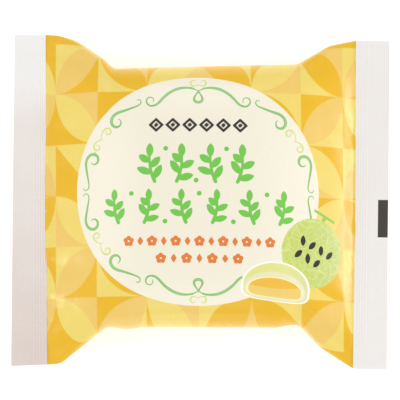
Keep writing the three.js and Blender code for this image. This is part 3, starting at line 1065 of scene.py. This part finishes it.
def seal_mesh(film, side):
    """An end seal: two crimped layers, with ridges that run across the pack."""
    count = round((film.seal_width + TUCK) / SEAL_STEP_ALONG)
    out = np.linspace(-TUCK, film.seal_width, count + 1)
    x = side * (film.seal_line + out)
    shares = np.linspace(0, 1, round(film.film_width / SEAL_STEP_ACROSS) + 1)
    near, far = film.seal_edges(x)
    y = lerp(near[:, None], far[:, None], shares[None, :])
    start = smoothstep(out, *CRIMP_START)
    band = start * (1 - smoothstep(out, *CRIMP_END))
    ridge = band * CRIMP_DEPTH * np.sin(TURN * out / CRIMP_PITCH)
    ridge += (start - band) * FINE_DEPTH * np.sin(TURN * out / FINE_PITCH)
    soft = 0
    for height, turn, phase, phase_by_side in SOFT_WAVES:
        soft = soft + height * np.sin(turn * y / 10 + phase + phase_by_side * side)
    soft = soft * np.clip(out / SOFT_SETTLE, 0, 1)[:, None]
    column = np.broadcast_to(x[:, None], y.shape)
    lift = film.seal_bend(column, y) + soft + film.seal_level
    edge = np.sqrt(np.clip(4 * shares * (1 - shares) * SEAL_ROUNDING, 0, 1))[None, :]
    half = film.half_seal * edge
    ridge, press = ridge[:, None] * edge, CRIMP_DEPTH * start[:, None] * edge
    top = lift + half + ridge - CRIMP_PRESS[0] * press
    bottom = lift - half + ridge + CRIMP_PRESS[1] * press
    slanted = film.slanted(column, y)
    upper = np.stack([slanted, y, top], axis=-1)
    lower = np.stack([slanted, y, bottom], axis=-1)
    points = np.concatenate([upper.reshape(-1, 3), lower.reshape(-1, 3)])
    index = np.arange(y.size).reshape(y.shape)
    faces = []

    def skin(grid, flip):
        quads = np.stack([grid[:-1, :-1], grid[1:, :-1], grid[1:, 1:], grid[:-1, 1:]], axis=-1)
        quads = quads.reshape(-1, 4)
        faces.extend((quads[:, ::-1] if flip else quads).tolist())

    skin(index, side < 0)
    skin(index + y.size, side > 0)
    rim = np.concatenate([index[0, :-1], index[:-1, -1], index[-1, :0:-1], index[:0:-1, 0]])
    for a, b in zip(rim, np.roll(rim, -1)):
        faces.append(turned_face((a, b, b + y.size, a + y.size), side < 0))
    # The top fills the left half of the seal's flat picture, and the bottom the right half.
    u = np.broadcast_to((out / out[-1])[:, None], y.shape)
    v = np.broadcast_to(shares[None, :], y.shape)
    bake = [np.stack([lerp(low, low + 0.48, u), lerp(0.01, 0.99, v)], axis=-1) for low in (0.01, 0.51)]
    bake = np.concatenate([sheet.reshape(-1, 2) for sheet in bake])
    name = "end_seal_right" if side > 0 else "end_seal_left"
    return build_mesh(name, points, faces, None, bake)


SEAM_STEPS_ALONG = 300
SEAM_STEPS_ACROSS = 20
SEAM_WAVERS = ((0.35, 0.21, 0), (0.2, 0.53, 1))  # its free edge's waves: height, turn, start
SEAM_INSET = 0.05
SEAM_SQUARENESS = 30
SEAM_CRIMP = 0.03
SEAM_CRIMP_PITCH = 1.1


def seam_mesh(film):
    """The long seam's flap, folded over against the back of the pack."""
    inner = np.linspace(-film.seal_line, film.seal_line, SEAM_STEPS_ALONG + 1)
    width = film.seam_to - SEAM_FROM
    s = np.linspace(0, 1, SEAM_STEPS_ACROSS + 1)
    waver = sum(height * np.sin(inner * turn + start) for height, turn, start in SEAM_WAVERS)
    ring_shares = np.concatenate([s, s[::-1]])
    side = np.repeat([1, -1], len(s))
    squareness = (2 * np.abs(ring_shares - 0.5)) ** SEAM_SQUARENESS
    half_thick = film.seam_thickness / 2 * np.sqrt(np.clip(1 - squareness, 0, 1))
    points, flat = [], []
    for k, x in enumerate(inner):
        reach = width - 2 * SEAM_INSET + waver[k] * ring_shares
        along = SEAM_FROM + SEAM_INSET + ring_shares * reach
        order = np.argsort(along)
        y, z = film.section(np.array([x]), np.sort(along) / film.film_width + 0.5, False)
        back = np.empty(len(along))
        middle = np.empty(len(along))
        back[order], middle[order] = z[0], y[0]
        depth = film.folds(np.array([x]), along, False) + film.creases(np.array([x]), along, False)
        crimp = SEAM_CRIMP * np.sin(TURN * along / SEAM_CRIMP_PITCH) * (side < 0)
        height = back + depth[0] + film.seam_thickness / 2 + side * half_thick
        height = np.maximum(height + crimp, 0.0)
        xs = film.slanted(np.full(len(along), x), middle)
        points.append(np.stack([xs, middle, height], axis=-1))
        flat.append(film.flat(np.array([x]), (along + width) / film.film_width + 0.5, False)[0])
    points, flat = np.array(points), np.array(flat)
    index, faces = ring_quads(points)
    for ring, flip in ((index[0], False), (index[-1], True)):
        for k in range(SEAM_STEPS_ACROSS):
            faces.append(turned_face((ring[k], ring[k + 1], ring[-2 - k], ring[-1 - k]), flip))
    return build_mesh("back_seam", points.reshape(-1, 3), faces, {"flat_film": flat.reshape(-1, 3)})


# ---- Finishes ----
CRISP = 0.14  # how far an ink's edge takes to fade


def covers(distance, crisp=CRISP):
    """1 inside an outline, 0 outside it."""
    return (0.5 - distance / crisp).clamp()


PATTERN_LOW = 0.5  # the pattern's rows lie this far nearer than the design's middle
PATTERN_ROWS = 4  # the pattern repeats after this many rows
PATTERN_REACH = 3  # how many rows it has on each side of the middle
TONES = 3
# Each uneven choice of the pattern: what the column and the row count for, what is added, the
# gain, and how many things there are to choose from.
PETAL_TONE = (74.23, 79.54, 2.65, 43.76, TONES)
CORNERS_SWAPPED = (11.59, 32.3, 1.09, 24.63, 2)
CUT_ACROSS = (65.91, 39.18, 0, 31.7, 9)


def uneven_choice(column, row, rule):
    """An uneven choice among whole numbers from 0, the same every time for the same cell."""
    column_share, row_share, offset, gain, choices = rule
    number = column * column_share + row * row_share + offset
    return ((number.sine() * gain).fraction() * choices).floor()


def overlapping_circles(paint, colours, cell, u, v):
    """The ground of overlapping circles: in each square cell a petal and two corner pieces.

    A few cells are cut across their diagonal instead. Past its last rows the ground is plain.
    """
    u, v = u / cell, (v + PATTERN_LOW) / cell
    column, row = u.floor(), v.floor() % PATTERN_ROWS
    fu, fv = u.fraction(), v.fraction()
    even = ((column + row) % 2) < 0.5
    fu = fu + even * (1 - 2 * fu)
    petal = uneven_choice(column, row, PETAL_TONE)
    swapped = uneven_choice(column, row, CORNERS_SWAPPED)
    from_left = (fu * fu + (fv - 1) * (fv - 1)).root()
    from_right = ((fu - 1) * (fu - 1) + fv * fv).root()
    upper, lower = from_right > 1, from_left > 1
    cut_across = uneven_choice(column, row, CUT_ACROSS) < 0.5
    upper = upper + cut_across * (((fu + fv) < 1) - upper)
    lower = lower * (1 - cut_across)
    tone = (petal + upper * (2 - swapped) + lower * (1 + swapped)) % TONES
    tone = tone * (abs(v) < PATTERN_REACH)
    tint = paint.mix(tone > 0.5, colours["orange"], colours["yellow"])
    return paint.mix(tone > 1.5, tint, colours["peach"])


OVAL_MIDDLE = (-0.74, 0.56)
OVAL_RADII = (49.6, 46.2)
STROKE_CRISP = 2.6
STROKE_END = 0.2  # how far a stroke reaches past its middle line's ends
STROKE_BELLY = (-0.12, -0.5)  # where a stroke turns to its lighter green
PALE_AT = 10  # how far right of its middle the pictured bun is palest
BUN_RIM = 0.5
CRUST_RIM = 0.35
CREST = BUN + 2.5 - 0.6j  # the top of the filling's upper layer
CREST_BOW = 0.0075


def print_layers(paint, colours, cell):
    """The whole printed face: ground, oval field and its ornaments."""
    u, v, _ = paint.vector("flat_film")
    tint = overlapping_circles(paint, colours, cell, u, v)
    across = (u - OVAL_MIDDLE[0]) / OVAL_RADII[0]
    up = (v - OVAL_MIDDLE[1]) / OVAL_RADII[1]
    from_oval = ((across * across + up * up).root() - 1) * (sum(OVAL_RADII) / 2)
    tint = paint.mix(covers(from_oval), tint, colours["cream"])
    across, outside, tone = paint.vector("scrolls")
    line = ((1 - abs(across)) * STROKE_CRISP + 0.5).clamp() * (outside < STROKE_END)
    belly = outside.between(*STROKE_BELLY)
    green = paint.mix(belly, colours["scroll"], colours["light_scroll"])
    tint = paint.mix(line, tint, paint.mix(tone > 0.5, green, colours["lime"]))
    sprigs, flowers, lozenges = paint.vector("rows")
    tint = paint.mix(covers(sprigs), tint, colours["leaf"])
    tint = paint.mix(covers(flowers), tint, colours["flower"])
    tint = paint.mix(covers(lozenges), tint, colours["dark"])
    disc_edge, stalk, seeds = paint.vector("melon")
    tint = paint.mix(covers(stalk), tint, colours["stalk"])
    tint = paint.mix(covers(disc_edge), tint, melon_rind(paint, colours, u, v))
    tint = paint.mix(covers(seeds), tint, colours["dark"])
    bun, face, filling = paint.vector("bun")
    tint = paint.mix(covers(bun), tint, colours["paper"])
    to_right = ((u - BUN.real) / PALE_AT).clamp()
    skin = paint.mix(to_right, colours["skin"], colours["light_skin"])
    tint = paint.mix(covers(bun + BUN_RIM), tint, skin)
    dough = paint.mix(to_right, colours["dough"], colours["light_dough"])
    tint = paint.mix(covers(face), tint, dough)
    tint = paint.mix(covers(filling - CRUST_RIM), tint, colours["crust"])
    along = u - CREST.real
    level = v - CREST.imag - CREST_BOW * along * along
    inside = paint.mix(level > 0, colours["cream_filling"], colours["filling"])
    return paint.mix(covers(filling), tint, inside)


RIND_FADE = 24  # how far across the melon its green takes to change
NETS = ((0.22, 0.6), (0.48, 0.4))  # the scale of each net of lines, and how strongly it shows
NET_LINE = 0.13
NET_CRISP = 0.2


def melon_rind(paint, colours, u, v):
    """Pale green, lighter towards the right, under a coarse and a fine net of thin lines."""
    to_right = ((u - MELON.real) / RIND_FADE + 0.5).clamp()
    rind = paint.mix(to_right, colours["melon"], colours["light_melon"])
    spot = paint.add("ShaderNodeCombineXYZ", {}, {0: u, 1: v})
    for scale, share in NETS:
        settings = {"feature": "DISTANCE_TO_EDGE"}
        sockets = {"Vector": spot, "Scale": scale, "Randomness": 1.0}
        from_line = paint.add("ShaderNodeTexVoronoi", settings, sockets) / scale
        rind = paint.mix(covers(from_line - NET_LINE, NET_CRISP) * share, rind, colours["net"])
    return rind


FILM_IOR = 1.45
# Each film's surface: the scale and detail of its cloudy sheen and of its crinkles, how far the
# sheen varies, and the crinkles' strength and depth.
PRINTED_SURFACE = {
    "clouds": (0.09, 2.0),
    "crinkles": (0.22, 2.0),
    "spread": 0.12,
    "relief": (0.06, 0.0005),
}
BARE_SURFACE = {
    "clouds": (0.05, 3.0),
    "crinkles": (0.6, 3.0),
    "spread": 0.1,
    "relief": (0.1, 0.0004),
}


def satin(paint, context, tint, cloud, surface):
    """Ends a material in satin film, with its tint, its cloudy sheen and its crinkles."""
    crinkle = paint.noise(paint.place(), *surface["crinkles"])
    spread = surface["spread"] * (cloud - 0.5)
    sockets = {
        "Base Color": tint,
        "Roughness": context.scene.pack_finish.roughness + spread,
        "Normal": paint.bump(crinkle, *surface["relief"]),
        "IOR": FILM_IOR,
    }
    return paint.film(sockets)


def printed_film(name, context, ornaments):
    """The print on satin film: all of it, or its ground alone."""
    paint = Paint(name)
    colours = inks(context)
    cell = context.scene.pack_sizes.cell / MM
    if ornaments:
        tint = print_layers(paint, colours, cell)
    else:
        u, v, _ = paint.vector("flat_film")
        tint = overlapping_circles(paint, colours, cell, u, v)
    cloud = paint.noise(paint.place(), *PRINTED_SURFACE["clouds"])
    return satin(paint, context, tint, cloud, PRINTED_SURFACE)


# Painted shade on the left seal: where up it the film is painted darker and warmer, from one level to
# the next, and how much.
SEAL_SHADE_BANDS = ((46, 30, 0.35), (20, -60, 0.65))
MARK_INSET = 2.1  # the register mark's middle from the cut edge
MARK_LEVEL = -5.9
MARK_SIZE = (2.0, 7.5)  # half its width and height


def bare_film(name, context, film, side):
    """The unprinted film of an end seal: painted shade deepens towards the left one's near end, and
    the right one has the dark register mark.
    """
    paint = Paint(name)
    colours = inks(context)
    place = paint.place()
    cloud = paint.noise(place, *BARE_SURFACE["clouds"])
    x, y, _ = paint.split(place)
    if side < 0:
        # Painted shade: the left seal's film is painted darker and warmer towards its near end, with
        # some clouds.
        warm = sum(y.between(start, end) * share for start, end, share in SEAL_SHADE_BANDS)
        tint = paint.mix(warm + 0.5 * (cloud - 0.5), colours["bare_film"], colours["warm_film"])
    else:
        tint = paint.mix(cloud * 0.25, colours["bare_film"], colours["warm_film"])
        beside = abs(x - (film.half_length - MARK_INSET)) - MARK_SIZE[0]
        beyond = abs(y - MARK_LEVEL) - MARK_SIZE[1]
        tint = paint.mix(covers(beside.largest(beyond)), tint, colours["mark"])
    return satin(paint, context, tint, cloud, BARE_SURFACE)


def inks(context):
    """The print's colours by name, with the few that aren't a user's choice."""
    group = context.scene.print_colours
    found = {name: tuple(getattr(group, name)) for name in PrintColours.__annotations__}
    found["paper"] = ink(255, 253, 244)
    found["crust"] = ink(248, 242, 192)
    # A warm grey: painted shade on the left seal, and a cloudy uneven tone on the right one.
    found["warm_film"] = ink(221, 207, 199)
    found["mark"] = ink(62, 56, 50)
    return found


# ---- Operators ----
class PACK_OT_film_pouch(bpy.types.Operator):
    """Builds the printed pouch of film round the bun."""

    bl_idname = "pack.film_pouch"
    bl_label = "Film pouch"

    def execute(self, context):
        piece = pouch_mesh(Film(context.scene.pack_sizes))
        keep(piece, printed_film("Printed film", context, True))
        return {"FINISHED"}


class PACK_OT_end_seals(bpy.types.Operator):
    """Builds the two crimped end seals of bare film."""

    bl_idname = "pack.end_seals"
    bl_label = "End seals"

    def execute(self, context):
        film = Film(context.scene.pack_sizes)
        for side, name in ((-1, "Bare film left"), (1, "Bare film right")):
            keep(seal_mesh(film, side), bare_film(name, context, film, side))
        return {"FINISHED"}


class PACK_OT_back_seam(bpy.types.Operator):
    """Builds the folded flap of the long seam on the back."""

    bl_idname = "pack.back_seam"
    bl_label = "Back seam"

    def execute(self, context):
        piece = seam_mesh(Film(context.scene.pack_sizes))
        keep(piece, printed_film("Seam film", context, False))
        return {"FINISHED"}


CAMERA_DISTANCE = 1.0  # over the seals' level
CAMERA_FIELD = 0.160  # what the picture spans there
CAMERA_ROLL = math.radians(0.58)
CAMERA_AIM = (-0.0002, 0.00085)
CAMERA_ELEVATION = math.radians(89)
SENSOR = 36
FLOOR_REACH = 3000
FLOOR_GLOW = 0.3  # the floor is a light table, faintly lit from below
# Azimuth and elevation in degrees, distance, width and height in metres, share of power.
LAMPS = {
    "lamp_front": (-90, 48, 1.3, 0.8, 0.8, 0.9),
    "lamp_back": (90, 48, 1.3, 0.8, 0.8, 1.15),
    "lamp_left": (180, 48, 1.3, 0.8, 0.8, 0.6),
    "lamp_right": (0, 48, 1.3, 0.8, 0.8, 0.2),
    "strip_right": (0, 7, 1.0, 0.6, 0.14, 1.1),
    "strip_front": (-90, 8, 1.0, 0.5, 0.12, 0.2),
    "strip_left": (200, 10, 1.0, 0.3, 0.12, 0.42),
}
LAMP_TARGET = (0, 0, 0.02)


def aim(thing, place, target, roll=0.0):
    """Puts a camera or lamp at place, looking at target, level, then rolled."""
    thing.location = place
    turn = (Vector(target) - Vector(place)).to_track_quat("-Z", "Y").to_matrix().to_4x4()
    thing.rotation_euler = (turn @ Matrix.Rotation(roll, 4, "Z")).to_euler()


class PACK_OT_stage(bpy.types.Operator):
    """Sets up the pale floor, the soft light and the camera above the pack."""

    bl_idname = "pack.stage"
    bl_label = "Stage"

    def execute(self, context):
        self.floor()
        self.light(context)
        self.camera(context)
        return {"FINISHED"}

    def floor(self):
        """Lays the pale floor under the pack."""
        signs = ((-1, -1), (1, -1), (1, 1), (-1, 1))
        corners = [(x * FLOOR_REACH, y * FLOOR_REACH, 0) for x, y in signs]
        piece = build_mesh("floor", corners, [[0, 1, 2, 3]])
        paint = Paint("Pale floor")
        speck = paint.noise(paint.place(), 0.02)
        tint = paint.mix(speck * 0.15, (0.96, 0.96, 0.96), (0.94, 0.94, 0.94))
        glow = {"Emission Color": (1, 1, 1), "Emission Strength": FLOOR_GLOW}
        piece.data.materials.append(paint.film({"Base Color": tint, "Roughness": 0.9, **glow}))

    def light(self, context):
        """Sets the even light of the room and hangs the lamps."""
        finish = context.scene.pack_finish
        world = bpy.data.worlds.new("Room")
        context.scene.world = world
        world.use_nodes = True
        background = world.node_tree.nodes["Background"]
        background.inputs["Color"].default_value = (1, 1, 1, 1)
        background.inputs["Strength"].default_value = finish.world
        context.scene.view_settings.view_transform = "Standard"
        context.scene.view_settings.look = "None"
        for name, (azimuth, elevation, distance, width, height, share) in LAMPS.items():
            data = bpy.data.lights.new(name, "AREA")
            data.energy = finish.lamps * share
            data.shape = "RECTANGLE"
            data.size = width
            data.size_y = height
            lamp = bpy.data.objects.new(name, data)
            context.scene.collection.objects.link(lamp)
            rise, turn = math.radians(elevation), math.radians(azimuth)
            level = distance * math.cos(rise)
            top = distance * math.sin(rise)
            aim(lamp, (level * math.cos(turn), level * math.sin(turn), top), LAMP_TARGET)

    def camera(self, context):
        """Hangs the camera over the pack, looking down."""
        sizes = context.scene.pack_sizes
        data = bpy.data.cameras.new("camera")
        data.sensor_width = SENSOR
        data.lens = SENSOR * CAMERA_DISTANCE / CAMERA_FIELD
        camera = bpy.data.objects.new("camera", data)
        context.scene.collection.objects.link(camera)
        target = Vector((*CAMERA_AIM, sizes.seal_level))
        back = Vector((0, -math.cos(CAMERA_ELEVATION), math.sin(CAMERA_ELEVATION)))
        aim(camera, target + CAMERA_DISTANCE * back, target, CAMERA_ROLL)
        context.scene.camera = camera


class PACK_PT_panel(bpy.types.Panel):
    """Lists the pack's sizes, inks and building steps."""

    bl_idname = "PACK_PT_panel"
    bl_label = "Bun pack"
    bl_space_type = "VIEW_3D"
    bl_region_type = "UI"
    bl_category = "Bun pack"

    def draw(self, context):
        layout = self.layout
        scene = context.scene
        for label, group in (
            ("Sizes", scene.pack_sizes),
            ("Inks", scene.print_colours),
            ("Finish and light", scene.pack_finish),
        ):
            box = layout.box()
            box.label(text=label)
            for name in type(group).__annotations__:
                box.prop(group, name)
        for step in STEPS:
            layout.operator(step.bl_idname)


STEPS = (PACK_OT_stage, PACK_OT_film_pouch, PACK_OT_end_seals, PACK_OT_back_seam)
GROUPS = {"pack_sizes": PackSizes, "print_colours": PrintColours, "pack_finish": Finish}


def register():
    """Registers the operators, the panel and the groups, and hangs the groups on the scene."""
    for kind in (*GROUPS.values(), *STEPS, PACK_PT_panel):
        bpy.utils.register_class(kind)
    for name, group in GROUPS.items():
        setattr(bpy.types.Scene, name, bpy.props.PointerProperty(type=group))


def unregister():
    """Takes back what register() did."""
    for name in GROUPS:
        delattr(bpy.types.Scene, name)
    for kind in (PACK_PT_panel, *reversed(STEPS), *reversed(list(GROUPS.values()))):
        bpy.utils.unregister_class(kind)


def main():
    """Builds the pack on its stage."""
    register()
    bpy.ops.pack.stage()
    bpy.ops.pack.film_pouch()
    bpy.ops.pack.end_seals()
    bpy.ops.pack.back_seam()


if __name__ == "__main__":
    main()
